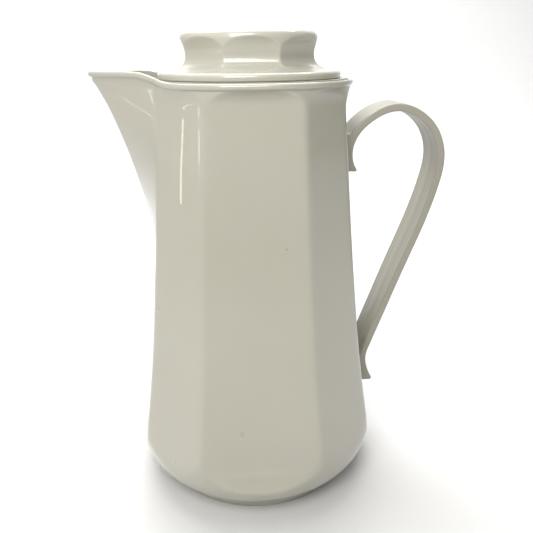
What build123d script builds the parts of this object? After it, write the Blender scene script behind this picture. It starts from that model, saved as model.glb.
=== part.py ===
from build123d import *
import math
import os

os.makedirs("parts", exist_ok=True)

# ---------------------------------------------------------------- driving dimensions (mm)
# Frame: +Z up through the axis of the flask, origin on the table under it,
# spout towards -X, handle towards +X.
HEIGHT = 266.0            # table to the top of the knob
WALL = 2.5                # outer shell wall
SHELL_Z0 = 7.0            # lower edge of the shell, on the base cap
RIM_Z = 240.6             # top of the rim bead away from the spout
RIM_R = 56.4              # rim bead outer radius
SPOUT_RIM_Z = 245.8       # top of the rim at the spout lip
BROAD = 0.892             # apothem of the four broad facets / corner radius
DIAG = 0.955              # apothem of the four diagonal facets / corner radius
DIAG_ANGLE = 44.6         # diagonal facet normal, from the front or back normal (deg)
FLARE_R = 14.5            # radius of the arched run-out at the top of each facet
RUNOUT_R = 22.0           # radius with which the facets run out into the round base
CORNER_ANGLE = 28.0       # corner direction, either side of the spout axis (deg)

STRAP_W = 26.0            # handle strap width
STRAP_Z0, STRAP_Z1 = 55.2, 206.0

BORE_ROOT_R = 31.0        # threaded bore of the pouring collar, thread root
BORE_CREST_R = 28.6       # thread crest
COLLAR_TOP = 240.9
COLLAR_FLOOR = 210.0
LEAD = 16.0               # lead of the two-start lid thread
PLUG_R = 28.0             # stopper body
PLUG_CREST_R = 30.4       # stopper thread crest
LID_Z0 = 241.4            # underside of the lid flange
FLANGE_R = 50.0
FLANGE_T = 3.5
KNOB_R = 37.2             # knob between its scallops
CAP_BORE_R = 29.0         # hollow of the knob
SPIGOT_R = 28.95          # top of the stopper, welded into that hollow

NECK_IN_R = 22.0          # flask mouth
GLASS_T = 1.6
FLASK_IN_R = 42.0         # flask bore
FLASK_OUT_R = 46.6        # outer glass
FLASK_BOT = 26.0
LIP_Z = 208.0             # flask lip

FOOT_R = 59.3             # base cap where it meets the table

# corner radius of the shell against height (z, R)
CORNER = [
    (7.0, 62.0), (10.0, 65.8), (14.0, 69.8), (18.0, 72.2), (22.0, 73.5), (26.0, 74.3),
    (30.0, 75.3), (35.0, 76.2), (42.0, 75.6), (52.3, 73.7), (95.0, 67.6),
    (142.5, 62.6), (190.0, 58.4), (228.0, 55.6),
]

# leading edge of the spout (z, distance from the axis)
SPOUT_EDGE = [
    (128.0, 54.5), (142.0, 56.4), (154.3, 57.6), (168.7, 60.0), (179.8, 62.4),
    (191.5, 65.4), (201.9, 68.4), (212.0, 71.7), (221.8, 75.1), (228.3, 77.7),
    (234.7, 80.8), (238.0, 82.8), (241.0, 85.0), (247.5, 86.0),
]

# top line of the rim, seen from the side (x, z)
RIM_LINE = [
    (-38.0, 240.6), (-41.5, 240.9), (-44.6, 241.5), (-48.4, 242.7), (-53.5, 244.5),
    (-57.3, 245.4), (-61.5, SPOUT_RIM_Z),
]

# handle strap, outer line from the upper foot over the top to the lower tail (x, z)
STRAP_OUT = [
    (51.6, 206.6), (54.9, 211.4), (58.2, 215.6), (66.2, 222.4), (73.5, 226.0),
    (81.0, 227.3), (89.3, 225.4), (97.8, 220.2), (104.0, 212.6), (107.6, 204.0),
    (108.6, 195.0), (107.3, 183.0), (104.9, 172.4), (101.1, 161.6), (96.2, 147.8),
    (90.4, 132.0), (84.9, 116.7), (79.3, 101.2), (75.9, 91.6), (73.5, 85.2),
    (71.3, 79.8), (69.9, 75.6), (69.4, 71.6), (69.8, 67.4), (70.9, 63.0),
    (72.4, 59.2), (73.9, 56.0),
]
# inner line from where it leaves the lower facet up to the tail of the upper foot
STRAP_IN = [
    (64.4, 69.7), (67.7, 79.0), (71.0, 88.4), (75.4, 100.7), (80.7, 115.3),
    (86.3, 130.8), (91.7, 145.6), (96.9, 159.8), (100.6, 170.6), (102.9, 180.8),
    (104.2, 191.2), (104.1, 199.6), (102.4, 206.6), (98.6, 213.0), (92.8, 218.4),
    (86.4, 221.9), (79.2, 223.2), (72.2, 221.8), (66.0, 217.6), (61.0, 212.0),
    (57.9, 206.8), (56.6, 202.0), (56.6, 197.6), (57.7, 194.0), (59.6, 191.2),
]


def interp(table, z):
    for (z0, r0), (z1, r1) in zip(table, table[1:]):
        if z <= z1:
            return r0 + (r1 - r0) * (z - z0) / (z1 - z0)
    return table[-1][1]


def corner_r(z):
    return interp(CORNER, z)


def facet_profile(ratio, start, off):
    """Distance of a facet from the axis against height: it runs out into the round
    base below, and flares out into the rim above."""
    low = [
        (z, ratio * (76.3 + 0.16 * (35.0 - z)) + RUNOUT_R - math.sqrt(RUNOUT_R**2 - (36.0 - z) ** 2))
        for z in (17.0, 20.0, 23.0, 26.0, 29.0, 32.0)
    ] + [(z, ratio * corner_r(z) + 0.15) for z in (36.0,)] + [(46.0, ratio * corner_r(46.0))]
    mid = [(z, ratio * corner_r(z)) for z in (56.0, 72.0, 95.0, 142.5, 190.0, 215.0)]
    a0 = ratio * corner_r(start)
    flare = [
        (start + h, a0 + FLARE_R - math.sqrt(FLARE_R**2 - h * h))
        for h in (0.0, 4.0, 7.0, 10.0, 12.5, 13.9)
    ]
    pts = low + mid + flare
    return [(a - off, z) for z, a in pts]


def radial_plane(angle):
    """Vertical plane through the axis; local x points along the facet normal."""
    n = (math.cos(math.radians(angle)), math.sin(math.radians(angle)), 0.0)
    return Plane(origin=(0, 0, 0), x_dir=n, z_dir=(n[1], -n[0], 0.0))


FACETS = [(a, BROAD, 226.5) for a in (0.0, 90.0, 180.0, 270.0)] + [
    (a, DIAG, 229.6)
    for a in (
        -90.0 + DIAG_ANGLE, -90.0 - DIAG_ANGLE, 90.0 + DIAG_ANGLE, 90.0 - DIAG_ANGLE,
    )
]


def v_section(z, off):
    """Plan of the spout at one height: two straight sides from the body's corners to
    a rounded nose. off moves every side inwards."""
    rc = corner_r(min(z, 228.0)) if z < 228.0 else 55.6 - 0.054 * (min(z, 240.0) - 228.0)
    bx = -math.cos(math.radians(CORNER_ANGLE)) * rc + 1.2
    by = math.sin(math.radians(CORNER_ANGLE)) * rc - 0.6
    nose = 3.6 - 0.6 * off
    tip = interp(SPOUT_EDGE, z)
    # sharp apex whose rounded nose reaches the leading edge
    cx = -(tip - off) + nose
    dx, dy = cx - bx, -by
    dist = math.hypot(dx, dy)
    side = by - off * 1.15
    ang = math.atan2(-side, cx - bx)
    d = math.hypot(cx - bx, side)
    beta = ang - math.asin(nose / d)
    tx, ty = cx + nose * math.sin(beta), -nose * math.cos(beta)
    tlen = math.sqrt(d * d - nose * nose)
    t1 = (bx + tlen * math.cos(beta), side + tlen * math.sin(beta))
    return bx, side, t1, (cx - nose, 0.0)


# ---------------------------------------------------------------- outer shell
with BuildPart() as outer_shell:
    # body of revolution through the corners, with the rim bead
    with BuildSketch(Plane.XZ):
        with BuildLine():
            Polyline((0, 247.0), (0, SHELL_Z0), (CORNER[0][1], SHELL_Z0))
            Spline(*[(r, z) for z, r in CORNER])
            Polyline(
                (CORNER[-1][1], CORNER[-1][0]), (54.9, 237.2), (55.6, 238.0),
                (RIM_R, 238.9), (RIM_R, 247.0), (0, 247.0),
            )
        make_face()
    revolve(axis=Axis.Z)
    # eight facets
    for angle, ratio, start in FACETS:
        prof = facet_profile(ratio, start, 0.0)
        with BuildSketch(radial_plane(angle)):
            with BuildLine():
                Spline(*prof)
                Polyline(prof[-1], (95.0, prof[-1][1]), (95.0, prof[0][1]), prof[0])
            make_face()
        extrude(amount=70, both=True, mode=Mode.SUBTRACT)
    # spout
    for z in (141.0, 155.0, 174.0, 195.0, 216.0, 232.0, 241.0, 247.0):
        bx, by, t, nose = v_section(z, 0.0)
        with BuildSketch(Plane.XY.offset(z)):
            with BuildLine():
                Line((-30.0, by), (bx, by))
                Line((bx, by), t)
                ThreePointArc(t, nose, (t[0], -t[1]))
                Line((t[0], -t[1]), (bx, -by))
                Line((bx, -by), (-30.0, -by))
                Line((-30.0, -by), (-30.0, by))
            make_face()
    loft(ruled=True)
    # rim line, level round the body and rising to the lip
    with BuildSketch(Plane.XZ):
        with BuildLine():
            Line((70.0, RIM_Z), RIM_LINE[0])
            Spline(*RIM_LINE, tangents=((-1, 0), (-1, 0)))
            Polyline(
                RIM_LINE[-1], (-95.0, SPOUT_RIM_Z), (-95.0, 260.0), (70.0, 260.0),
                (70.0, RIM_Z),
            )
        make_face()
    extrude(amount=100, both=True, mode=Mode.SUBTRACT)

# hollow of the shell: the same form one wall further in
with BuildPart() as shell_hollow:
    with BuildSketch(Plane.XZ):
        with BuildLine():
            Polyline((0, 250.0), (0, 0.0), (58.0, 0.0), (58.0, 9.4), (61.9, 9.4))
            Spline(
                (61.9, 9.4), (64.1, 11.9), (67.8, 15.6), (69.9, 19.1), (71.1, 22.5),
                (71.8, 26.2), (72.8, 30.4), (73.5, 35.2), (73.0, 42.0), (71.2, 52.3),
                (65.1, 95.0), (60.1, 142.5), (55.9, 190.0), (53.0, 228.0),
            )
            Polyline((53.0, 228.0), (53.0, 236.0), (53.9, 237.4), (53.9, 250.0), (0, 250.0))
        make_face()
    revolve(axis=Axis.Z)
    for angle, ratio, start in FACETS:
        prof = facet_profile(ratio, start, WALL)
        with BuildSketch(radial_plane(angle)):
            with BuildLine():
                Spline(*prof)
                Polyline(prof[-1], (95.0, prof[-1][1]), (95.0, prof[0][1]), prof[0])
            make_face()
        extrude(amount=70, both=True, mode=Mode.SUBTRACT)
    for z in (160.0, 170.0, 182.0, 198.0, 216.0, 232.0, 241.0, 249.0):
        bx, by, t, nose = v_section(min(z, 247.0), WALL)
        with BuildSketch(Plane.XY.offset(z)):
            with BuildLine():
                Line((-28.0, by), (bx, by))
                Line((bx, by), t)
                ThreePointArc(t, nose, (t[0], -t[1]))
                Line((t[0], -t[1]), (bx, -by))
                Line((bx, -by), (-28.0, -by))
                Line((-28.0, -by), (-28.0, by))
            make_face()
    loft(ruled=True)

# screw positions through the handle facet (y, z)
SCREWS = [(-7.5, 198.0), (7.5, 198.0), (-7.5, 62.0), (7.5, 62.0)]
HEAD_X = {198.0: BROAD * corner_r(198.0) - WALL, 62.0: BROAD * corner_r(62.0) - WALL}

with BuildPart() as shell_finish:
    add(outer_shell.part)
    add(shell_hollow.part, mode=Mode.SUBTRACT)
    for y, z in SCREWS:
        with BuildSketch(Plane(origin=(0, y, z), x_dir=(0, 1, 0), z_dir=(1, 0, 0))):
            Circle(1.8)
        extrude(amount=80, mode=Mode.SUBTRACT)
shell_finish.part.label = "outer_shell"
export_step(shell_finish.part, "parts/outer_shell.step")


# ---------------------------------------------------------------- handle
def offset_line(points, d):
    """Points moved d along the left-hand normal of the line."""
    out = []
    for i, (x, z) in enumerate(points):
        x0, z0 = points[max(i - 1, 0)]
        x1, z1 = points[min(i + 1, len(points) - 1)]
        n = math.hypot(x1 - x0, z1 - z0)
        out.append((x - d * (z1 - z0) / n, z + d * (x1 - x0) / n))
    return out


def facet_x(z):
    return BROAD * corner_r(z) + 0.4


with BuildPart() as handle_strap:
    with BuildSketch(Plane.XZ):
        with BuildLine():
            Spline(*STRAP_OUT)
            Polyline(
                STRAP_OUT[-1], (72.9, STRAP_Z0), (facet_x(STRAP_Z0), STRAP_Z0), STRAP_IN[0]
            )
            Spline(*STRAP_IN)
            Polyline(
                STRAP_IN[-1], (59.2, 190.4), (facet_x(190.4), 190.4), STRAP_OUT[0]
            )
        make_face()
    extrude(amount=STRAP_W / 2, both=True)
    # long side edges are rounded
    side_edges = handle_strap.edges().filter_by(
        lambda e: abs(abs(e.center().Y) - STRAP_W / 2) < 0.01 and e.length > 60
    )
    fillet(side_edges, radius=1.0)
    # shallow recess with a middle rib along the inner face
    inner = STRAP_IN[2:18]
    deep = offset_line(inner, -1.0)
    over = offset_line(inner, 2.0)
    for y0, y1 in ((-9.2, -1.2), (1.2, 9.2)):
        with BuildSketch(Plane.XZ.offset(-y1)):
            with BuildLine():
                Spline(*deep)
                Line(deep[-1], over[-1])
                Spline(*over[::-1])
                Line(over[0], deep[0])
            make_face()
        extrude(amount=y1 - y0, mode=Mode.SUBTRACT)
    # pilot holes for the screws
    for y, z in SCREWS:
        with BuildSketch(
            Plane(origin=(HEAD_X[z] - 2, y, z), x_dir=(0, 1, 0), z_dir=(1, 0, 0))
        ):
            Circle(1.5)
        extrude(amount=8.2, mode=Mode.SUBTRACT)
handle_strap.part.label = "handle_strap"
export_step(handle_strap.part, "parts/handle_strap.step")

# four pan-head screws driven from inside the shell
with BuildPart() as handle_screws:
    for y, z in SCREWS:
        # the heads bear on the tilted inside of the facet with a small clearance
        head = Plane(origin=(HEAD_X[z] - 0.45, y, z), x_dir=(0, 1, 0), z_dir=(1, 0, 0))
        with BuildSketch(head):
            Circle(3.0)
        extrude(amount=-1.8)
        with BuildSketch(head):
            Circle(1.45)
        extrude(amount=6.2)
handle_screws.part.label = "handle_screws"
export_step(handle_screws.part, "parts/handle_screws.step")

# ---------------------------------------------------------------- pouring collar
with BuildPart() as pouring_collar:
    with BuildSketch(Plane.XZ):
        with BuildLine():
            Polyline(
                (23.6, COLLAR_FLOOR), (33.6, COLLAR_FLOOR), (33.6, 236.4), (50.6, 237.9),
                (50.6, 239.6), (53.4, 239.6), (53.4, COLLAR_TOP), (BORE_ROOT_R, COLLAR_TOP),
                (BORE_ROOT_R, 215.0), (27.0, 212.4), (23.6, 212.4), (23.6, COLLAR_FLOOR),
            )
        make_face()
    revolve(axis=Axis.Z)
    # open the collar towards the spout
    with BuildSketch(Plane.XY.offset(227.2)):
        with BuildLine():
            Polyline((-22.0, 14.5), (-36.0, 14.5), (-60.0, 34.0), (-60.0, -34.0),
                     (-36.0, -14.5), (-22.0, -14.5), (-22.0, 14.5))
        make_face()
    extrude(amount=20, mode=Mode.SUBTRACT)
    # trough running up into the spout, V-shaped in plan
    with BuildSketch(Plane.XZ):
        with BuildLine():
            Polyline((-32.4, 224.4), (-76.0, 233.4), (-76.0, 235.4), (-32.4, 226.6), (-32.4, 224.4))
        make_face()
    extrude(amount=30, both=True)
    with BuildSketch(Plane.XY.offset(200)):
        with BuildLine():
            Polyline((60, 60), (-30.0, 60), (-30.0, 17.5), (-45.6, 19.6), (-73.4, 1.6), (-73.4, -1.6),
                     (-45.6, -19.6), (-30.0, -17.5), (-30.0, -60), (60, -60), (60, 60))
        make_face()
        with BuildLine():
            Polyline((-30.0, 17.5), (-30.0, 60.0), (-54.0, 60.0), (-54.0, 14.2), (-45.6, 19.6), (-30.0, 17.5))
        make_face()
        with BuildLine():
            Polyline((-30.0, -17.5), (-30.0, -60.0), (-54.0, -60.0), (-54.0, -14.2), (-45.6, -19.6), (-30.0, -17.5))
        make_face()
    extrude(amount=60, mode=Mode.INTERSECT)
    # the trough's floor stays inside the V below the deck
    with BuildSketch(Plane.XY.offset(220)):
        with BuildLine():
            Polyline((-34.0, 18.2), (-45.6, 19.6), (-70.0, 3.8), (-70.0, 40.0), (-34.0, 40.0), (-34.0, 18.2))
        make_face()
        with BuildLine():
            Polyline((-34.0, -18.2), (-45.6, -19.6), (-70.0, -3.8), (-70.0, -40.0), (-34.0, -40.0), (-34.0, -18.2))
        make_face()
    extrude(amount=15.5, mode=Mode.SUBTRACT)
    # two-start inner thread
    for turn in (0.0, 180.0):
        with BuildLine(Plane.XY.offset(219.0).rotated((0, 0, turn + 20.0))) as spiral:
            Helix(pitch=LEAD, height=8.6, radius=BORE_ROOT_R - 0.9)
        start = spiral.line @ 0
        tangent = spiral.line % 0
        radial = Vector(start.X, start.Y, 0).normalized()
        with BuildSketch(Plane(origin=start, x_dir=radial, z_dir=tangent)):
            with BuildLine():
                Polyline((1.3, -2.0), (1.3, 2.0), (-1.4, 1.0), (-1.4, -1.0), (1.3, -2.0))
            make_face()
        sweep(path=spiral.wire(), is_frenet=True)
pouring_collar.part.label = "pouring_collar"
export_step(pouring_collar.part, "parts/pouring_collar.step")

# ---------------------------------------------------------------- vacuum flask
with BuildPart() as flask_inner_glass:
    with BuildSketch(Plane.XZ):
        with BuildLine():
            Polyline((NECK_IN_R, LIP_Z), (26.2, LIP_Z), (26.2, 206.2), (23.6, 206.2), (23.6, 199.0))
            Spline((23.6, 199.0), (26.5, 191.5), (36.0, 184.0), (43.6, 172.0),
                   tangents=((0, -1), (0, -1)))
            Line((43.6, 172.0), (43.6, 52.0))
            Spline((43.6, 52.0), (36.0, 37.4), (20.0, 31.4), (0, 30.0), tangents=((0, -1), (-1, 0)))
            Line((0, 30.0), (0, 31.7))
            Spline((0, 31.7), (19.4, 33.1), (34.8, 38.7), (42.0, 52.0), tangents=((1, 0), (0, 1)))
            Line((42.0, 52.0), (42.0, 172.0))
            Spline((42.0, 172.0), (35.0, 182.6), (25.2, 190.4), (22.0, 199.0),
                   tangents=((0, 1), (0, 1)))
            Line((22.0, 199.0), (NECK_IN_R, LIP_Z))
        make_face()
    revolve(axis=Axis.Z)
flask_inner_glass.part.label = "flask_inner_glass"
export_step(flask_inner_glass.part, "parts/flask_inner_glass.step")

with BuildPart() as flask_outer_glass:
    with BuildSketch(Plane.XZ):
        with BuildLine():
            Polyline((24.6, 206.2), (26.2, 206.2), (26.2, 199.6))
            Spline((26.2, 199.6), (29.2, 194.0), (39.0, 186.4), (46.6, 173.4),
                   tangents=((0, -1), (0, -1)))
            Line((46.6, 173.4), (46.6, 50.0))
            Spline((46.6, 50.0), (38.6, 33.4), (21.0, 26.9), (3.0, 25.6), tangents=((0, -1), (-1, 0)))
            Polyline((3.0, 25.6), (1.6, 22.0), (0, 22.0), (0, 27.2))
            Spline((0, 27.2), (20.4, 28.6), (37.4, 34.7), (45.0, 50.0), tangents=((1, 0), (0, 1)))
            Line((45.0, 50.0), (45.0, 173.4))
            Spline((45.0, 173.4), (38.0, 185.2), (28.0, 192.8), (24.6, 199.6),
                   tangents=((0, 1), (0, 1)))
            Line((24.6, 199.6), (24.6, 206.2))
        make_face()
    revolve(axis=Axis.Z)
flask_outer_glass.part.label = "flask_outer_glass"
export_step(flask_outer_glass.part, "parts/flask_outer_glass.step")

with BuildPart() as flask_neck_seal:
    with BuildSketch(Plane.XZ):
        with BuildLine():
            Polyline((24.0, LIP_Z), (26.3, LIP_Z), (26.3, 200.4), (28.2, 200.4), (28.2, COLLAR_FLOOR),
                     (24.0, COLLAR_FLOOR), (24.0, LIP_Z))
        make_face()
    revolve(axis=Axis.Z)
flask_neck_seal.part.label = "flask_neck_seal"
export_step(flask_neck_seal.part, "parts/flask_neck_seal.step")

# rubber cup under the flask
with BuildPart() as flask_cushion:
    with BuildSketch(Plane.XZ):
        with BuildLine():
            Polyline((12.0, 16.0), (50.2, 16.0), (50.2, 47.5), (47.4, 47.5), (47.2, 44.0),
                     (45.0, 36.8), (40.0, 31.6), (31.0, 27.2), (20.0, 25.2), (12.0, 24.6), (12.0, 16.0))
        make_face()
    revolve(axis=Axis.Z)
flask_cushion.part.label = "flask_cushion"
export_step(flask_cushion.part, "parts/flask_cushion.step")

# ---------------------------------------------------------------- base cap
with BuildPart() as base_cap:
    with BuildSketch(Plane.XZ):
        with BuildLine():
            Polyline(
                (0, 4.0), (52.4, 4.0), (55.6, 0.0), (FOOT_R - 0.6, 0.0), (FOOT_R, 0.6), (61.9, 6.6),
                (57.4, 6.6), (57.4, 19.0), (54.9, 19.0), (54.9, 7.0), (48.6, 7.0), (48.6, 15.8),
                (44.6, 15.8), (44.6, 7.0), (24.0, 7.0), (24.0, 15.8), (20.0, 15.8), (20.0, 7.0),
                (0, 7.0), (0, 4.0),
            )
        make_face()
    revolve(axis=Axis.Z)
    # three finger recesses for turning the cap
    with BuildSketch(Plane.XY.offset(4.0)):
        with PolarLocations(36.0, 3):
            SlotOverall(20, 8)
    extrude(amount=1.4, mode=Mode.SUBTRACT)
base_cap.part.label = "base_cap"
export_step(base_cap.part, "parts/base_cap.step")

# ---------------------------------------------------------------- lid
SCALLOP = [
    (46.0, 245.25), (40.6, 246.2), (37.0, 247.4), (35.0, 249.0), (34.0, 251.0), (33.7, 253.2),
    (33.9, 255.4), (34.5, 257.6), (35.5, 259.8), (36.9, 261.8), (38.6, 263.4),
]

with BuildPart() as lid_cap:
    with BuildSketch(Plane.XZ):
        with BuildLine():
            Line((0, 262.6), (0, HEIGHT))
            Line((0, HEIGHT), (33.0, HEIGHT - 0.4))
            Spline((33.0, HEIGHT - 0.4), (35.9, HEIGHT - 1.5), (KNOB_R, HEIGHT - 4.0), (KNOB_R, 257.5),
                   (36.9, 252.6), (37.7, 249.4), (40.2, 246.8), (44.6, 245.4), (48.2, LID_Z0 + FLANGE_T),
                   tangents=((1, -0.05), (1, -0.02)))
            ThreePointArc((48.2, LID_Z0 + FLANGE_T), (49.6, 244.2), (FLANGE_R, LID_Z0 + 1.9))
            Polyline((FLANGE_R, LID_Z0 + 1.9), (FLANGE_R, LID_Z0 + 0.5), (FLANGE_R - 0.6, LID_Z0),
                     (CAP_BORE_R, LID_Z0), (CAP_BORE_R, 262.6), (0, 262.6))
        make_face()
    revolve(axis=Axis.Z)
    for i in range(8):
        with BuildSketch(radial_plane(-90.0 + 45.0 * i)):
            with BuildLine():
                Spline(*SCALLOP)
                Polyline(SCALLOP[-1], (60.0, SCALLOP[-1][1]), (60.0, SCALLOP[0][1]), SCALLOP[0])
            make_face()
        extrude(amount=30, both=True, mode=Mode.SUBTRACT)
lid_cap.part.label = "lid_cap"
export_step(lid_cap.part, "parts/lid_cap.step")

with BuildPart() as lid_stopper:
    with BuildSketch(Plane.XZ):
        with BuildLine():
            Polyline(
                (0, 206.0), (20.4, 206.0), (21.2, 206.8), (21.2, 207.6), (19.0, 207.6), (19.0, 211.2),
                (21.2, 211.2), (22.6, 215.2), (PLUG_R, 217.6), (PLUG_R, LID_Z0),
                (SPIGOT_R, LID_Z0), (SPIGOT_R, 247.0), (0, 247.0), (0, 245.0),
                (25.4, 245.0), (25.4, 219.4), (16.0, 214.8), (16.0, 208.4), (0, 208.4), (0, 206.0),
            )
        make_face()
    revolve(axis=Axis.Z)
    # two-start outer thread
    for turn in (0.0, 180.0):
        with BuildLine(Plane.XY.offset(223.0).rotated((0, 0, turn + 20.0))) as spiral:
            Helix(pitch=LEAD, height=8.6, radius=PLUG_R + 0.9)
        start = spiral.line @ 0
        tangent = spiral.line % 0
        radial = Vector(start.X, start.Y, 0).normalized()
        with BuildSketch(Plane(origin=start, x_dir=radial, z_dir=tangent)):
            with BuildLine():
                Polyline((-1.3, -2.0), (-1.3, 2.0), (1.4, 1.0), (1.4, -1.0), (-1.3, -2.0))
            make_face()
        sweep(path=spiral.wire(), is_frenet=True)
lid_stopper.part.label = "lid_stopper"
export_step(lid_stopper.part, "parts/lid_stopper.step")

with BuildPart() as lid_insulation:
    with BuildSketch(Plane.XY.offset(247.1)):
        Circle(28.7)
    extrude(amount=15.2)
lid_insulation.part.label = "lid_insulation"
export_step(lid_insulation.part, "parts/lid_insulation.step")

with BuildPart() as lid_gasket:
    with BuildSketch(Plane.XZ):
        with BuildLine():
            Polyline((19.05, 207.7), (20.9, 207.7), (21.6, 208.6), (21.6, 210.2), (20.9, 211.1), (19.05, 211.1),
                     (19.05, 207.7))
        make_face()
    revolve(axis=Axis.Z)
lid_gasket.part.label = "lid_gasket"
export_step(lid_gasket.part, "parts/lid_gasket.step")
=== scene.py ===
import math

import bpy
import numpy as np
from mathutils import Matrix, Vector


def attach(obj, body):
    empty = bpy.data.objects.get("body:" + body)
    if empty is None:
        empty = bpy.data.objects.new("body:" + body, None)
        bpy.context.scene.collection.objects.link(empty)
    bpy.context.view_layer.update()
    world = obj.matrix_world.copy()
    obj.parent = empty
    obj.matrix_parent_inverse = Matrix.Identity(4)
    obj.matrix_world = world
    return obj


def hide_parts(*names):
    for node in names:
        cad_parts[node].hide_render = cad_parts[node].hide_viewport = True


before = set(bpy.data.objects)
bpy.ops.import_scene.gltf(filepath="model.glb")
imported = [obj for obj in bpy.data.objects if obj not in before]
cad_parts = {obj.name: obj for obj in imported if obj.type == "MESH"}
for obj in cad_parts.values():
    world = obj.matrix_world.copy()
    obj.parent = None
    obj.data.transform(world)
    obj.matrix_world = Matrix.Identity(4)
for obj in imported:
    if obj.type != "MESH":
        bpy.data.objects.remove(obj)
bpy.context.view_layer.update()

scene = bpy.context.scene
MM = 0.001


# ------------------------------------------------------------------ numbers of the pot (mm)
CORNER = [
    (7.0, 62.0), (10.0, 65.8), (14.0, 69.8), (18.0, 72.2), (22.0, 73.6), (26.0, 74.4),
    (30.0, 75.3), (35.0, 76.0), (42.0, 75.5), (52.3, 73.7), (95.0, 67.6),
    (142.5, 62.6), (190.0, 58.5), (228.0, 55.5), (246.0, 55.0),
]
EDGE = [
    (128.0, 54.8), (142.0, 56.8), (154.3, 58.2), (168.7, 60.4), (179.8, 62.9),
    (191.5, 65.9), (201.9, 68.9), (212.0, 72.2), (221.8, 75.7), (228.3, 78.3),
    (234.7, 81.4), (238.0, 83.1), (241.0, 84.9), (247.5, 85.5),
]
RIM_LINE = [
    (-90.0, 245.8), (-66.0, 245.8), (-61.5, 245.7), (-57.3, 245.3), (-53.5, 244.4), (-48.4, 242.6),
    (-44.6, 241.4), (-41.5, 240.8), (-37.0, 240.55), (-30.0, 240.5), (80.0, 240.5),
]
BROAD, DIAG = 0.893, 0.956
DIAG_ANGLE = 44.6
FLARE_R = 14.5
RUNOUT_R = 22.0
FACETS = [(-90.0, BROAD, 226.5), (0.0, BROAD, 226.5), (90.0, BROAD, 226.5), (180.0, BROAD, 226.5),
          (-90.0 + DIAG_ANGLE, DIAG, 229.4), (-90.0 - DIAG_ANGLE, DIAG, 229.4),
          (90.0 + DIAG_ANGLE, DIAG, 229.4), (90.0 - DIAG_ANGLE, DIAG, 229.4)]
CORNER_ANGLE = math.radians(28.0)


def pchip(xs, ys, x):
    """Monotone cubic through the points."""
    xs, ys = np.asarray(xs, float), np.asarray(ys, float)
    h, d = np.diff(xs), np.diff(ys) / np.diff(xs)
    m = np.zeros(len(xs))
    for i in range(1, len(xs) - 1):
        if d[i - 1] * d[i] > 0:
            w1, w2 = 2 * h[i] + h[i - 1], h[i] + 2 * h[i - 1]
            m[i] = (w1 + w2) / (w1 / d[i - 1] + w2 / d[i])
    m[0], m[-1] = d[0], d[-1]
    x = np.clip(np.asarray(x, float), xs[0], xs[-1])
    i = np.clip(np.searchsorted(xs, x) - 1, 0, len(xs) - 2)
    t = (x - xs[i]) / h[i]
    return (
        ys[i] * (1 + 2 * t) * (1 - t) ** 2 + h[i] * m[i] * t * (1 - t) ** 2
        + ys[i + 1] * t * t * (3 - 2 * t) + h[i] * m[i + 1] * t * t * (t - 1)
    )


def smin(a, b, k):
    h = np.maximum(k - np.abs(a - b), 0.0) / k
    return np.minimum(a, b) - h * h * k * 0.25


def step(x, lo, hi):
    t = np.clip((x - lo) / (hi - lo), 0, 1)
    return t * t * (3 - 2 * t)


def corner_r(z):
    return pchip(*zip(*CORNER), z)


def rim_z(x):
    return pchip(*zip(*RIM_LINE), x)


def facet_a(ratio, start, z):
    """Distance of a facet from the axis: straight side, running out into the round base
    below and flaring out into the rim above."""
    straight = ratio * np.where(z < 50.0, corner_r(50.0) + 0.152 * (50.0 - z), corner_r(z))
    h = np.clip(np.logaddexp(0.0, (35.0 - z) / 2.2) * 2.2, 0, RUNOUT_R * 0.999)
    low = RUNOUT_R - np.sqrt(RUNOUT_R**2 - h * h)
    h = np.clip(np.logaddexp(0.0, (z - start) / 0.9) * 0.9, 0, FLARE_R * 0.97)
    high = FLARE_R - np.sqrt(FLARE_R**2 - h * h)
    over = np.maximum(z - start - FLARE_R * 0.97, 0) * 4.0
    return straight + low + high + over


def body_r(theta, z, rim_gap, skip_spout_facet=False):
    """Radius of the body at angle theta and height z. rim_gap is the depth below the rim:
    the flare follows the rim line."""
    k = 1.35 + 1.2 * step(z, 46.0, 26.0) - 0.35 * step(rim_gap, 16.0, 6.0)
    zz = np.where(rim_gap < 24.0, z + (240.5 - (z + rim_gap)) * step(rim_gap, 24.0, 4.0), z)
    r = corner_r(zz) + 0.26
    for angle, ratio, start in FACETS:
        if skip_spout_facet and angle == 180.0:
            continue
        c = np.cos(theta - math.radians(angle))
        a = facet_a(ratio, start, zz)
        r = smin(r, np.where(c > 0.25, a / np.maximum(c, 0.25), 1e3), k)
    return r


def spout_r(theta, z, rim_gap):
    """Radius of the V-shaped spout: straight sides from the corners to a rounded nose."""
    rc = corner_r(z)
    bx, by = -np.cos(CORNER_ANGLE) * rc, np.sin(CORNER_ANGLE) * rc
    lead = pchip(*zip(*EDGE), z)
    facet = BROAD * rc
    lead = facet + np.logaddexp(0.0, (lead - facet) * 1.6) / 1.6
    nose = 3.0 + 0.035 * np.maximum(245.0 - z, 0)
    cx = -(lead - nose)
    p, q = bx - cx, by
    hyp = np.sqrt(p * p + q * q)
    alpha = np.arctan2(p, q) + np.arcsin(np.clip(nose / hyp, -1, 1))
    dist = -np.cos(alpha) * bx + np.sin(alpha) * by
    dist = dist + 1.0 * step(rim_gap, 9.0, 2.2) ** 2
    ct, st = np.cos(theta), np.sin(theta)
    r1 = dist / np.maximum(-np.cos(alpha) * ct + np.sin(alpha) * st, 0.15)
    r2 = dist / np.maximum(-np.cos(alpha) * ct - np.sin(alpha) * st, 0.15)
    apex = dist / np.cos(alpha)
    k = 4.0 * np.maximum(apex - lead, 0.02)
    return smin(r1, r2, k)


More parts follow.
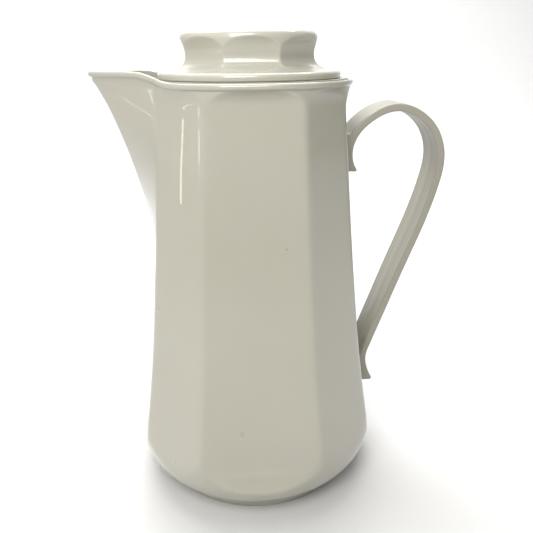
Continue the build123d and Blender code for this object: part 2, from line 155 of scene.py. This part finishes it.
def pot_r(theta, z, rim_gap):
    whole = body_r(theta, z, rim_gap)
    v = spout_r(theta, z, rim_gap)
    off = np.abs(np.angle(np.exp(1j * (theta - math.pi))))
    w = step(off, CORNER_ANGLE + math.radians(3.2), CORNER_ANGLE - math.radians(3.2))
    open_body = body_r(theta, z, rim_gap, skip_spout_facet=True)
    mixed = open_body * (1 - w) + v * w
    wz = step(z, 132.0, 158.0)
    return whole * (1 - wz) + mixed * wz


# ------------------------------------------------------------------ mesh helpers
def make_object(name, verts, faces, smooth=True):
    me = bpy.data.meshes.new(name)
    me.from_pydata([tuple(v) for v in np.asarray(verts) * MM], [], [tuple(int(i) for i in f) for f in faces])
    me.validate()
    me.update()
    ob = bpy.data.objects.new(name, me)
    scene.collection.objects.link(ob)
    if smooth:
        me.polygons.foreach_set("use_smooth", [True] * len(me.polygons))
    return ob


def grid_faces(rows, cols, base=0, wrap=True, flip=False):
    out = []
    n = cols if wrap else cols - 1
    for i in range(rows - 1):
        a0, b0 = base + i * cols, base + (i + 1) * cols
        for j in range(n):
            k = (j + 1) % cols
            f = (a0 + j, a0 + k, b0 + k, b0 + j)
            out.append(f[::-1] if flip else f)
    return out


def lathe(name, profile, seg=160):
    """Closed solid turned about the axis from a profile that starts and ends on it, or a ring."""
    prof = np.array(profile, float)
    t = np.linspace(0, 2 * math.pi, seg, endpoint=False)
    verts, faces, rings = [], [], []
    for r, z in prof:
        if r < 1e-6:
            rings.append([len(verts)] * seg)
            verts.append((0, 0, z))
        else:
            rings.append(list(range(len(verts), len(verts) + seg)))
            verts += [(r * math.cos(a), r * math.sin(a), z) for a in t]
    closed_ring = prof[0][0] > 1e-6
    pairs = list(zip(rings, rings[1:])) + ([(rings[-1], rings[0])] if closed_ring else [])
    for a, b in pairs:
        for j in range(seg):
            k = (j + 1) % seg
            f = [a[j], a[k], b[k], b[j]]
            g = []
            for v in f:
                if v not in g:
                    g.append(v)
            if len(g) > 2:
                faces.append(g)
    return make_object(name, verts, faces)


def outward(ob):
    import bmesh
    bm = bmesh.new()
    bm.from_mesh(ob.data)
    bmesh.ops.recalc_face_normals(bm, faces=bm.faces)
    if bm.calc_volume(signed=True) < 0:
        bmesh.ops.reverse_faces(bm, faces=bm.faces)
    bm.to_mesh(ob.data)
    bm.free()
    return ob


# ------------------------------------------------------------------ outer shell
def shell():
    base = np.linspace(0, 2 * math.pi, 480, endpoint=False)
    near = math.pi + np.radians(np.arange(-5.0, 5.01, 0.2))
    theta = np.array([t for t in base if abs(t - math.pi) > math.radians(5.2)])
    theta = np.sort(np.concatenate([theta, near]))
    n = len(theta)
    # height of the rim over each angle
    top = np.full(n, 240.5)
    for _ in range(12):
        r = pot_r(theta, top - 3.1, np.full(n, 3.1))
        top = 0.5 * top + 0.5 * rim_z(r * np.cos(theta))
    rows = []
    # outer wall, from the base up to the underside of the bead
    s_low = np.concatenate([np.arange(7.0, 50.0, 1.0), np.arange(50.0, 216.0, 4.0)])
    for z in s_low:
        rr = pot_r(theta, np.full(n, z), top - z)
        rows.append(np.stack([rr * np.cos(theta), rr * np.sin(theta), np.full(n, z)], 1))
    for f in np.linspace(0, 1, 52)[0:]:
        z = 216.0 + (top - 3.1 - 216.0) * f
        rr = pot_r(theta, z, top - z)
        rows.append(np.stack([rr * np.cos(theta), rr * np.sin(theta), z], 1))
    wall = rows[-1]

    def normals(ring):
        d = np.roll(ring, -1, 0) - np.roll(ring, 1, 0)
        nn = np.stack([d[:, 1], -d[:, 0]], 1)
        return nn / np.linalg.norm(nn, axis=1)[:, None]

    nn = normals(wall)
    bead = [
        (0.30, 0.04), (0.74, 0.26), (1.06, 0.66), (1.22, 1.15), (1.24, 1.65), (1.12, 2.15), (0.86, 2.60),
        (0.48, 2.93), (0.04, 3.08), (-0.40, 3.03), (-0.78, 2.80), (-1.03, 2.42), (-1.14, 1.9), (-1.18, 1.2),
        (-1.22, 0.2),
    ]
    tip = 1.0 + 0.25 * step(-wall[:, 0], 55.0, 78.0)
    for u, w in bead:
        ring = wall.copy()
        ring[:, :2] += nn * (u * (tip if u > 0 else np.ones(n)))[:, None]
        ring[:, 2] += w
        rows.append(ring)
    # inner wall
    off = np.abs(np.angle(np.exp(1j * (theta - math.pi))))
    # ledge inside the spout that the edges of the pouring trough rest against
    ledge = np.minimum(41.24 / (0.5435 * np.cos(off) + 0.8394 * np.sin(off)), 73.4 / np.maximum(np.cos(off), 0.2)) + 0.35
    lip = 226.6 + 0.2018 * (ledge * np.cos(off) - 32.4) - 0.25
    side = step(off, math.radians(27.0), math.radians(25.2))
    for f in np.concatenate([np.linspace(1, 0.88, 46), np.linspace(0.86, 0, 26)]):
        z = 12.0 + (top - 4.6 - 12.0) * f
        rr = pot_r(theta, z, top - z)
        ring = np.stack([rr * np.cos(theta), rr * np.sin(theta), z], 1)
        m = normals(ring)
        t = 1.22 + 1.05 * step(top - z, 3.5, 12.0)
        ring[:, :2] -= m * t[:, None]
        w = side * step(z, lip + 0.3, lip - 0.3) * step(z, lip - 8.0, lip - 3.0)
        inside = np.minimum(ledge, np.hypot(ring[:, 0], ring[:, 1]))
        shelf = np.stack([inside * np.cos(theta), inside * np.sin(theta)], 1)
        ring[:, :2] = ring[:, :2] * (1 - w[:, None]) + shelf * w[:, None]
        rows.append(ring)
    for r, z in ((62.3, 10.2), (61.6, 9.5), (58.3, 9.4), (58.05, 9.1), (58.0, 7.3), (58.3, 7.0), (61.4, 6.95)):
        rows.append(np.stack([r * np.cos(theta), r * np.sin(theta), np.full(n, z)], 1))
    verts = np.concatenate(rows)
    faces = grid_faces(len(rows), n)
    last = (len(rows) - 1) * n
    for j in range(n):
        k = (j + 1) % n
        faces.append((last + j, last + k, k, j))
    return outward(make_object("pot_shell", verts, faces))


pot_shell = shell()


# ------------------------------------------------------------------ lid cap with its scalloped knob
def lid():
    prof = [(0.0, 266.0), (6.0, 265.98), (14.0, 265.92), (22.0, 265.8), (28.0, 265.6), (31.0, 265.4), (33.0, 265.1),
            (34.6, 264.6), (35.8, 263.9), (36.6, 263.0), (37.0, 262.0), (37.2, 260.8), (37.2, 257.0),
            (37.05, 254.0), (36.9, 252.0), (37.1, 250.6), (37.6, 249.3), (38.5, 248.0), (39.8, 246.9),
            (41.5, 246.0), (43.6, 245.4), (46.0, 245.05), (47.6, 244.95), (48.6, 244.75), (49.35, 244.3),
            (49.8, 243.65), (49.95, 242.95), (49.95, 241.9), (49.85, 241.4), (49.6, 241.12), (49.1, 241.02), (48.6, 241.0)]
    # resample so the curves are smooth
    p = np.array(prof)
    s = np.concatenate([[0], np.cumsum(np.hypot(*np.diff(p, axis=0).T))])
    ss = np.unique(np.concatenate([np.linspace(0, 30, 12), np.arange(30, s[-1], 0.32), [s[-1]]]))
    R, Z = pchip(s, p[:, 0], ss), pchip(s, p[:, 1], ss)
    under = [(47.6, 241.0), (46.6, 241.4), (42.0, 241.4), (34.0, 241.4), (29.3, 241.4), (29.05, 241.6), (29.0, 242.0), (29.0, 262.0), (28.6, 262.6), (0.0, 262.6)]
    seg = 512
    th = np.linspace(0, 2 * math.pi, seg, endpoint=False)
    scal = [(245.1, 47.5), (245.5, 44.2), (246.2, 40.4), (247.2, 37.2), (248.4, 35.3), (249.8, 34.3), (251.4, 33.75),
            (253.2, 33.6), (255.2, 33.8), (257.2, 34.35), (259.2, 35.25), (261.0, 36.45), (262.3, 37.7), (263.5, 39.5), (266.5, 47.0)]
    verts, rings = [], []
    for r0, z in list(zip(R, Z)) + under:
        if r0 < 1e-6:
            rings.append([len(verts)] * seg)
            verts.append((0, 0, z))
            continue
        r = np.full(seg, r0)
        if r0 > 30 and z > 245.0:
            a = pchip(*zip(*scal), z)
            for i in range(8):
                c = np.cos(th - math.radians(-90 + 45 * i))
                r = smin(r, np.where(c > 0.3, a / np.maximum(c, 0.3), 1e3), 0.5)
            r = r + (0.5 * 0.25 if r0 < a / math.cos(math.radians(22.5)) - 1.2 else 0.0) * 0
        rings.append(list(range(len(verts), len(verts) + seg)))
        verts += [(x, y, z) for x, y in zip(r * np.cos(th), r * np.sin(th))]
    faces = []
    for a, b in zip(rings, rings[1:]):
        for j in range(seg):
            k = (j + 1) % seg
            g = []
            for v in (a[j], a[k], b[k], b[j]):
                if v not in g:
                    g.append(v)
            if len(g) > 2:
                faces.append(g)
    return outward(make_object("lid_knob", verts, faces))


lid_knob = lid()


# ------------------------------------------------------------------ handle strap
STRAP_OUT = [
    (54.9, 211.4), (58.2, 215.8), (62.0, 219.5), (66.4, 222.6), (71.3, 225.3), (76.3, 226.9), (81.2, 227.3),
    (85.8, 226.7), (90.2, 225.0), (94.6, 222.5), (98.7, 219.2), (102.3, 215.2), (105.2, 210.4), (107.2, 205.2),
    (108.4, 200.0), (108.6, 194.8), (108.2, 189.2), (107.2, 183.4), (105.8, 177.6), (104.2, 171.6), (102.3, 165.4),
    (100.4, 159.4), (98.3, 153.4), (96.1, 147.4), (93.8, 141.2), (91.4, 134.8), (89.0, 128.4), (86.7, 122.0),
    (84.3, 115.4), (82.0, 108.8), (79.6, 102.0), (77.1, 95.2), (74.9, 89.0), (72.9, 83.4),
]
STRAP_T = 4.2


def catmull(pts, n):
    p = np.array(pts, float)
    s = np.concatenate([[0], np.cumsum(np.hypot(*np.diff(p, axis=0).T))])
    m = np.gradient(p, s, axis=0)
    x = np.linspace(0, s[-1], n)
    i = np.clip(np.searchsorted(s, x) - 1, 0, len(s) - 2)
    h = (s[i + 1] - s[i])[:, None]
    t = ((x - s[i]) / (s[i + 1] - s[i]))[:, None]
    return (p[i] * (1 + 2 * t) * (1 - t) ** 2 + h * m[i] * t * (1 - t) ** 2
            + p[i + 1] * t * t * (3 - 2 * t) + h * m[i + 1] * t * t * (t - 1))


def facet_x(z):
    return float(BROAD * corner_r(z)) + 0.35


def strap():
    out = catmull([(x + (0.016 * (x - 42.0) if z > 185.0 else 0.6 + 0.008 * (x - 70.0)), z) for x, z in STRAP_OUT], 150)
    for _ in range(6):
        out[1:-1] = out[1:-1] * 0.5 + (out[:-2] + out[2:]) * 0.25
    d = np.gradient(out, axis=0)
    d /= np.linalg.norm(d, axis=1)[:, None]
    inn = out + np.stack([d[:, 1], -d[:, 0]], 1) * STRAP_T
    # upper foot: a plate on the body ending in a small outward tail
    up_o = [(facet_x(190.5) + 0.5, 190.5), (facet_x(191), 191.0), (facet_x(193), 193.0), (facet_x(195), 195.0), (facet_x(197), 197.0),
            (facet_x(199), 199.0), (facet_x(201), 201.0), (facet_x(203), 203.0), (facet_x(205), 205.0),
            (facet_x(207), 207.0), (facet_x(209), 209.0), (facet_x(211), 210.7), (facet_x(211) + 0.3, 211.0), (54.3, 211.1)]
    up_i = [(58.9, 190.4), (59.5, 191.0), (58.7, 192.4), (57.9, 193.9), (57.2, 195.8), (56.8, 197.8), (56.65, 199.8), (56.7, 201.8),
            (57.0, 203.8), (57.6, 205.6), (58.1, 206.8), (58.7, 207.9), (58.9, 208.3), (59.3, 209.1)]
    # lower foot
    lo_o = [(72.2, 81.2), (71.2, 78.6), (70.4, 76.2), (69.8, 73.6), (69.55, 71.0), (69.7, 68.4), (70.2, 65.8), (70.9, 63.2),
            (71.8, 60.6), (72.8, 58.4), (73.8, 56.6), (74.0, 56.0), (73.3, 55.3)]
    lo_i = [(67.9, 80.6), (67.0, 78.0), (66.1, 75.4), (65.3, 73.0), (64.6, 71.0), (facet_x(68.4), 68.4), (facet_x(65.8), 65.8),
            (facet_x(63.2), 63.2), (facet_x(60.6), 60.6), (facet_x(58.4), 58.4), (facet_x(56.6), 56.6), (facet_x(56), 55.8),
            (facet_x(55.3) + 0.5, 55.2)]
    O = np.concatenate([up_o, out, lo_o])
    I = np.concatenate([up_i, inn, lo_i])
    # the inner side runs in one even curve from the foot into the strap
    a0, b0 = 8, len(up_o) + 6
    pa, pb = I[a0], I[b0]
    reach = np.linalg.norm(pb - pa)
    ctl_a = pa + np.array([0.20, 0.98]) * reach * 0.36
    ctl_b = pb - d[6] * reach * 0.30
    for j in range(a0 + 1, b0):
        t = (j - a0) / (b0 - a0)
        I[j] = pa * (1 - t) ** 3 + 3 * ctl_a * t * (1 - t) ** 2 + 3 * ctl_b * t * t * (1 - t) + pb * t**3
    n = len(O)
    u0, u1 = len(up_o), len(up_o) + len(out)
    half, rad = 13.0, 0.8
    # cross-section: s runs across the strap (-1..1), t through it (0 = outer face, 1 = inner face)
    sect = []
    for a in np.linspace(0, 90, 7):
        sect.append(("o", half - rad + rad * math.sin(math.radians(a)), rad - rad * math.cos(math.radians(a))))
    for a in np.linspace(90, 0, 7):
        sect.append(("i", half - rad + rad * math.sin(math.radians(a)), rad - rad * math.cos(math.radians(a))))
    # inner face with two shallow channels and a rib between them
    chan = [(11.2, 0.0), (10.9, 0.03), (10.5, 0.10), (10.1, 0.13), (7.6, 0.13), (7.2, 0.09), (6.8, 0.16), (6.4, 0.18), (3.2, 0.18), (2.8, 0.12), (2.4, 0.08), (0.4, 0.08)]
    inner_pts = [(y, dz) for y, dz in chan] + [(-y, dz) for y, dz in chan[::-1]]
    for y, dz in inner_pts:
        sect.append(("c", y, dz))
    for a in np.linspace(0, 90, 7):
        sect.append(("i", -(half - rad + rad * math.sin(math.radians(a))), rad - rad * math.cos(math.radians(a))))
    for a in np.linspace(90, 0, 7):
        sect.append(("o", -(half - rad + rad * math.sin(math.radians(a))), rad - rad * math.cos(math.radians(a))))
    for y in (-10.0, -5.0, 0.0, 5.0, 10.0):
        sect.append(("o", y, 0.0))
    verts = []
    lo_shift = 0.6
    O[u1:, 0] += lo_shift
    I[u1 : u1 + 5, 0] += lo_shift
    for i in range(n):
        v = I[i] - O[i]
        L = np.linalg.norm(v)
        v = v / L
        fade = float(step(i, u0 + 3, u0 + 12) * step(i, u1 - 3, u1 - 14))
        for side, y, dz in sect:
            if side == "o":
                q = O[i] + v * dz
            elif side == "i":
                q = I[i] - v * dz
            else:
                q = I[i] - v * dz * fade
            verts.append((q[0], -y, q[1]))
    m = len(sect)
    faces = grid_faces(n, m)
    faces.append(tuple(range(m))[::-1])
    faces.append(tuple((n - 1) * m + j for j in range(m)))
    ob = outward(make_object("handle_loop", verts, faces))
    mod = ob.modifiers.new("edge", "BEVEL")
    mod.width, mod.segments, mod.limit_method, mod.angle_limit = 0.0004, 2, "ANGLE", math.radians(50)
    bpy.context.view_layer.objects.active = ob
    ob.select_set(True)
    bpy.ops.object.modifier_apply(modifier="edge")
    ob.select_set(False)
    ob.data.polygons.foreach_set("use_smooth", [True] * len(ob.data.polygons))
    return ob


handle_loop = strap()


# ------------------------------------------------------------------ materials
class Nodes:
    def __init__(self, name):
        self.mat = bpy.data.materials.new(name)
        self.mat.use_nodes = True
        self.nt = self.mat.node_tree
        self.nt.nodes.clear()
        self.out = self.add("ShaderNodeOutputMaterial")
        self.bsdf = self.add("ShaderNodeBsdfPrincipled")
        self.nt.links.new(self.bsdf.outputs[0], self.out.inputs[0])
        self.coord = self.add("ShaderNodeTexCoord").outputs["Object"]

    def add(self, kind, **kw):
        nd = self.nt.nodes.new(kind)
        for k, v in kw.items():
            setattr(nd, k, v)
        return nd

    def link(self, a, b):
        self.nt.links.new(a, b)

    def noise(self, scale, detail=4.0, rough=0.5, stretch=None):
        src = self.coord
        if stretch:
            mp = self.add("ShaderNodeMapping")
            mp.inputs["Scale"].default_value = stretch
            self.link(self.coord, mp.inputs["Vector"])
            src = mp.outputs[0]
        nd = self.add("ShaderNodeTexNoise")
        nd.inputs["Scale"].default_value = scale
        nd.inputs["Detail"].default_value = detail
        nd.inputs["Roughness"].default_value = rough
        self.link(src, nd.inputs["Vector"])
        return nd.outputs[0]

    def ramp(self, src, stops):
        nd = self.add("ShaderNodeValToRGB")
        el = nd.color_ramp.elements
        el[0].position, el[0].color = stops[0][0], (*stops[0][1], 1)
        el[1].position, el[1].color = stops[-1][0], (*stops[-1][1], 1)
        for p, c in stops[1:-1]:
            e = el.new(p)
            e.color = (*c, 1)
        self.link(src, nd.inputs[0])
        return nd.outputs[0]

    def remap(self, src, lo, hi, a=0.0, b=1.0):
        nd = self.add("ShaderNodeMapRange")
        for k, v in zip(("From Min", "From Max", "To Min", "To Max"), (a, b, lo, hi)):
            nd.inputs[k].default_value = v
        self.link(src, nd.inputs["Value"])
        return nd.outputs[0]

    def math(self, op, a, b=None):
        nd = self.add("ShaderNodeMath", operation=op)
        for i, v in enumerate((a, b)):
            if v is None:
                continue
            if isinstance(v, (int, float)):
                nd.inputs[i].default_value = v
            else:
                self.link(v, nd.inputs[i])
        return nd.outputs[0]

    def mix(self, fac, a, b):
        nd = self.add("ShaderNodeMix", data_type="RGBA")
        self.link(fac, nd.inputs["Factor"]) if not isinstance(fac, (int, float)) else setattr(nd.inputs["Factor"], "default_value", fac)
        for key, v in (("A", a), ("B", b)):
            sock = [s for s in nd.inputs if s.name == key and s.type == "RGBA"][0]
            if isinstance(v, tuple):
                sock.default_value = (*v, 1)
            else:
                self.link(v, sock)
        return [s for s in nd.outputs if s.type == "RGBA"][0]

    def bump(self, height, strength, distance, normal=None):
        nd = self.add("ShaderNodeBump")
        nd.inputs["Strength"].default_value = strength
        nd.inputs["Distance"].default_value = distance
        self.link(height, nd.inputs["Height"])
        if normal is not None:
            self.link(normal, nd.inputs["Normal"])
        return nd.outputs[0]


def plastic(name, base, rough=0.30, tint=0.03, coat=0.8, specks=True, grain=1.0, spec=0.5):
    """Moulded plastic: slow colour drift, slight flow marks, fine scuffs in the gloss, a faint
    orange-peel bump and a few dark specks from years of use."""
    n = Nodes(name)
    b = n.bsdf.inputs
    slow = n.noise(9.0, 3.0, 0.55)
    flow = n.noise(26.0, 3.0, 0.6, stretch=(1.0, 1.0, 0.25))
    lo = tuple(c * (1 - tint) * f for c, f in zip(base, (1.0, 0.995, 0.975)))
    hi = tuple(min(c * (1 + tint), 1) * f for c, f in zip(base, (1.0, 1.0, 1.01)))
    col = n.ramp(slow, [(0.25, lo), (0.5, base), (0.75, hi)])
    shade = n.remap(flow, 0.988, 1.012)
    hsv = n.add("ShaderNodeHueSaturation")
    n.link(col, hsv.inputs["Color"])
    n.link(shade, hsv.inputs["Value"])
    col = hsv.outputs[0]
    if specks:
        vor = n.add("ShaderNodeTexVoronoi")
        vor.inputs["Scale"].default_value = 62.0
        n.link(n.coord, vor.inputs["Vector"])
        dot = n.math("LESS_THAN", vor.outputs["Distance"], 0.034)
        sep = n.add("ShaderNodeSeparateColor")
        n.link(vor.outputs["Color"], sep.inputs[0])
        rare = n.math("GREATER_THAN", sep.outputs[0], 0.90)
        fac = n.math("MULTIPLY", n.math("MULTIPLY", dot, rare), 0.5)
        col = n.mix(fac, col, (0.16, 0.14, 0.10))
    n.link(col, b["Base Color"])
    scuff = n.noise(150.0, 3.0, 0.5)
    blotch = n.noise(38.0, 3.0, 0.5)
    n.link(n.math("ADD", n.remap(blotch, rough - 0.05, rough + 0.05), n.remap(scuff, -0.02, 0.02)), b["Roughness"])
    peel = n.noise(420.0, 2.0, 0.5)
    wave = n.noise(45.0, 2.0, 0.5)
    nrm = n.bump(wave, 0.10 * grain, 0.0010)
    nrm = n.bump(peel, 0.03 * grain, 0.00006, nrm)
    n.link(nrm, b["Normal"])
    b["IOR"].default_value = 1.5
    b["Specular IOR Level"].default_value = spec
    b["Coat Weight"].default_value = coat
    b["Coat Roughness"].default_value = 0.025
    b["Subsurface Weight"].default_value = 0.06
    b["Subsurface Radius"].default_value = (0.004, 0.003, 0.002)
    b["Subsurface Scale"].default_value = 0.3
    return n.mat


CREAM = (0.372, 0.360, 0.303)
mat_shell = plastic("shell_plastic", CREAM)
mat_lid = plastic("lid_plastic", (0.415, 0.402, 0.341))
# handle colour: the cream darkened to 0.80, partly the handle's own duller tone and partly painted shade for the shaded
# inner face of the strap
mat_handle_painted_shade = plastic("handle_plastic_painted_shade", tuple(c * 0.80 for c in CREAM), rough=0.38, coat=0.12, spec=0.22)
# base cap colour: the cream lightened to 1.05 as painted light, making up for the shade near the floor on the foot
mat_base_painted_light = plastic("base_plastic_painted_light", tuple(c * 1.05 for c in CREAM), rough=0.3, coat=0.1)
mat_inner = plastic("collar_plastic", tuple(c * 0.98 for c in CREAM), rough=0.34, coat=0.0, specks=False)
mat_stopper = plastic("stopper_plastic", tuple(c * 1.0 for c in CREAM), rough=0.34, coat=0.0, specks=False)


def rubber(name, base, rough=0.55):
    n = Nodes(name)
    b = n.bsdf.inputs
    n.link(n.ramp(n.noise(60.0, 4.0), [(0.3, tuple(c * 0.86 for c in base)), (0.7, base)]), b["Base Color"])
    n.link(n.remap(n.noise(300.0, 4.0), rough - 0.08, rough + 0.1), b["Roughness"])
    n.link(n.bump(n.noise(900.0, 3.0), 0.25, 0.0001), b["Normal"])
    b["Specular IOR Level"].default_value = 0.35
    return n.mat


def silvered(name):
    n = Nodes(name)
    b = n.bsdf.inputs
    n.link(n.ramp(n.noise(18.0, 4.0), [(0.3, (0.80, 0.80, 0.78)), (0.7, (0.90, 0.91, 0.91))]), b["Base Color"])
    n.link(n.remap(n.noise(120.0, 5.0), 0.03, 0.10), b["Roughness"])
    n.link(n.bump(n.noise(40.0, 2.0), 0.05, 0.0006), b["Normal"])
    b["Metallic"].default_value = 1.0
    b["Coat Weight"].default_value = 1.0
    b["Coat Roughness"].default_value = 0.02
    return n.mat


def steel(name):
    n = Nodes(name)
    b = n.bsdf.inputs
    n.link(n.ramp(n.noise(500.0, 4.0, stretch=(1, 1, 0.2)), [(0.3, (0.42, 0.42, 0.41)), (0.7, (0.62, 0.61, 0.59))]), b["Base Color"])
    n.link(n.remap(n.noise(700.0, 4.0), 0.25, 0.42), b["Roughness"])
    n.link(n.bump(n.noise(800.0, 2.0), 0.15, 0.00005), b["Normal"])
    b["Metallic"].default_value = 1.0
    return n.mat


def foam(name):
    n = Nodes(name)
    b = n.bsdf.inputs
    n.link(n.ramp(n.noise(140.0, 6.0), [(0.3, (0.66, 0.62, 0.50)), (0.7, (0.78, 0.74, 0.62))]), b["Base Color"])
    n.link(n.remap(n.noise(400.0, 3.0), 0.75, 0.95), b["Roughness"])
    n.link(n.bump(n.noise(600.0, 5.0), 0.8, 0.0004), b["Normal"])
    return n.mat


mat_seal = rubber("seal_rubber", (0.46, 0.45, 0.41))
mat_cushion = rubber("cushion_rubber", (0.035, 0.035, 0.035), 0.6)
mat_glass = silvered("silvered_glass")
mat_steel = steel("screw_steel")
mat_foam = foam("insulating_foam")


def assign(ob, mat):
    ob.data.materials.clear()
    ob.data.materials.append(mat)


for ob, mat in ((pot_shell, mat_shell), (lid_knob, mat_lid), (handle_loop, mat_handle_painted_shade)):
    assign(ob, mat)
for node, mat in {
    "handle_screws": mat_steel, "pouring_collar": mat_inner, "flask_neck_seal": mat_seal,
    "flask_inner_glass": mat_glass, "flask_outer_glass": mat_glass, "flask_cushion": mat_cushion,
    "base_cap": mat_base_painted_light, "lid_stopper": mat_stopper, "lid_insulation": mat_foam, "lid_gasket": mat_seal,
}.items():
    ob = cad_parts[node]
    for s in ob.material_slots:
        s.material = mat
    if not ob.material_slots:
        ob.data.materials.append(mat)

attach(pot_shell, "pot")
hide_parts("outer_shell")
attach(handle_loop, "pot")
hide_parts("handle_strap")
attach(lid_knob, "lid")
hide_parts("lid_cap")


# ------------------------------------------------------------------ studio
def plain(name, col, rough=0.9):
    n = Nodes(name)
    n.link(n.ramp(n.noise(3.0, 2.0), [(0.3, tuple(c * 0.99 for c in col)), (0.7, col)]), n.bsdf.inputs["Base Color"])
    n.bsdf.inputs["Roughness"].default_value = rough
    n.bsdf.inputs["Specular IOR Level"].default_value = 0.1
    return n.mat


def sweep_floor():
    """Paper sweep: flat floor that curves up into a backdrop well behind the pot."""
    prof = [(-3000.0, 0.0), (-1200.0, 0.0), (-400.0, 0.0), (0.0, 0.0), (400.0, 0.0), (1000.0, 0.0), (1600.0, 0.0)]
    for a in np.linspace(0, 90, 15)[1:]:
        a = math.radians(a)
        prof.append((1600.0 + 900.0 * math.sin(a), 900.0 - 900.0 * math.cos(a)))
    prof.append((2500.0, 2600.0))
    verts, xs = [], (-3500.0, 3500.0)
    for y, z in prof:
        verts += [(x, y, z - 0.05) for x in xs]
    return make_object("floor", verts, [(2 * i, 2 * i + 1, 2 * i + 3, 2 * i + 2) for i in range(len(prof) - 1)])


floor = sweep_floor()
assign(floor, plain("floor_paper", (0.58, 0.58, 0.575)))


world = bpy.data.worlds.new("studio")
scene.world = world
world.use_nodes = True
wt = world.node_tree
sky = wt.nodes["Background"]
sky.inputs[0].default_value = (1.0, 0.995, 0.985, 1)
way = wt.nodes.new("ShaderNodeSeparateXYZ")
wt.links.new(wt.nodes.new("ShaderNodeTexCoord").outputs["Generated"], way.inputs[0])


def along(axis, lo, hi, a, b):
    """Part of the room light that changes smoothly along one direction."""
    nd = wt.nodes.new("ShaderNodeMapRange")
    nd.interpolation_type = "SMOOTHSTEP"
    for k, v in zip(("From Min", "From Max", "To Min", "To Max"), (lo, hi, a, b)):
        nd.inputs[k].default_value = v
    wt.links.new(way.outputs[axis], nd.inputs["Value"])
    return nd.outputs[0]


total = None
for part in (along(0, -0.9, 0.9, 0.62, 0.06), along(1, 0.2, 0.95, 0.06, 0.40), along(2, 0.0, 0.8, 0.0, 0.22)):
    if total is None:
        total = part
        continue
    nd = wt.nodes.new("ShaderNodeMath")
    nd.operation = "ADD"
    wt.links.new(total, nd.inputs[0])
    wt.links.new(part, nd.inputs[1])
    total = nd.outputs[0]
wt.links.new(total, sky.inputs[1])


def area(name, loc, target, size, power, color=(1, 1, 1), size_y=None):
    li = bpy.data.lights.new(name, "AREA")
    li.energy, li.color, li.size = power, color, size
    if size_y:
        li.shape, li.size_y = "RECTANGLE", size_y
    ob = bpy.data.objects.new(name, li)
    scene.collection.objects.link(ob)
    ob.location = loc
    ob.rotation_euler = (Vector(target) - Vector(loc)).to_track_quat("-Z", "Y").to_euler()
    return ob


area("key", (-0.12, -0.47, 0.56), (-0.02, 0, 0.12), 0.34, 3.5, (1.0, 0.985, 0.955))
area("top_soft", (-0.1, 0.45, 1.3), (0, 0.25, 0.0), 1.0, 12.0)
area("backdrop_light", (0.0, 1.5, 2.2), (0.0, 2.1, 0.3), 2.6, 80.0, size_y=1.2)

def soft_strip(name, eye, hit, normal, hit2, normal2, reach, width, power, color):
    """Tall narrow light placed so that its mirror image lies between two points of the side."""
    ends = []
    for h, n in ((hit, normal), (hit2, normal2)):
        h, n = Vector(h), Vector(n).normalized()
        d = (h - Vector(eye)).normalized()
        ends.append(h + (d - 2 * d.dot(n) * n) * reach)
    a, b = ends
    mid, span = (a + b) / 2, (b - a)
    li = bpy.data.lights.new(name, "AREA")
    li.shape, li.size, li.size_y, li.energy, li.color = "RECTANGLE", width, span.length, power, color
    ob = bpy.data.objects.new(name, li)
    scene.collection.objects.link(ob)
    z = (mid - (Vector(hit) + Vector(hit2)) / 2).normalized()
    y = (span - span.dot(z) * z).normalized()
    x = y.cross(z)
    ob.matrix_world = Matrix.Translation(mid) @ Matrix((x, y, z)).transposed().to_4x4()
    return ob


def surface_point(px, py):
    """Point and normal of the shell under a place in the picture."""
    u, v = (px / 533.0 - 0.5) * 36.0 / LENS, (0.5 - py / 533.0) * 36.0 / LENS
    ray = (Vector(AHEAD) + u * Vector(RIGHT) + v * Vector(UPWARD)).normalized()
    ok, loc, nor, _ = pot_shell.ray_cast(Vector(EYE), ray)
    return loc, nor


EYE = (-0.0149409, -0.3354415, 0.2534875)
RIGHT = (0.9972789, -0.0730037, -0.0102637)
UPWARD = (0.0347154, 0.3422214, 0.9389778)
AHEAD = (0.0650364, 0.9367790, -0.3438245)
LENS = 39.25493
p1, n1 = surface_point(183, 119)
p2, n2 = surface_point(183, 192)
soft_strip("window_strip", EYE, p1, n1, p2, n1, 0.38, 0.0018, 0.0048, (1.0, 0.84, 0.60))
p1, n1 = surface_point(199, 131)
p2, n2 = surface_point(199, 153)
soft_strip("window_patch", EYE, p1, n1, p2, n1, 0.38, 0.060, 0.024, (1.0, 0.98, 0.95))

# camera
cam_data = bpy.data.cameras.new("camera")
cam = bpy.data.objects.new("camera", cam_data)
scene.collection.objects.link(cam)
cam_data.lens, cam_data.sensor_width, cam_data.sensor_fit = LENS, 36.0, "HORIZONTAL"
cam_data.clip_start, cam_data.clip_end = 0.01, 50.0
rot = Matrix((Vector(RIGHT), Vector(UPWARD), -Vector(AHEAD))).transposed()
cam.matrix_world = Matrix.Translation(EYE) @ rot.to_4x4()
scene.camera = cam
scene.view_settings.view_transform = "Standard"
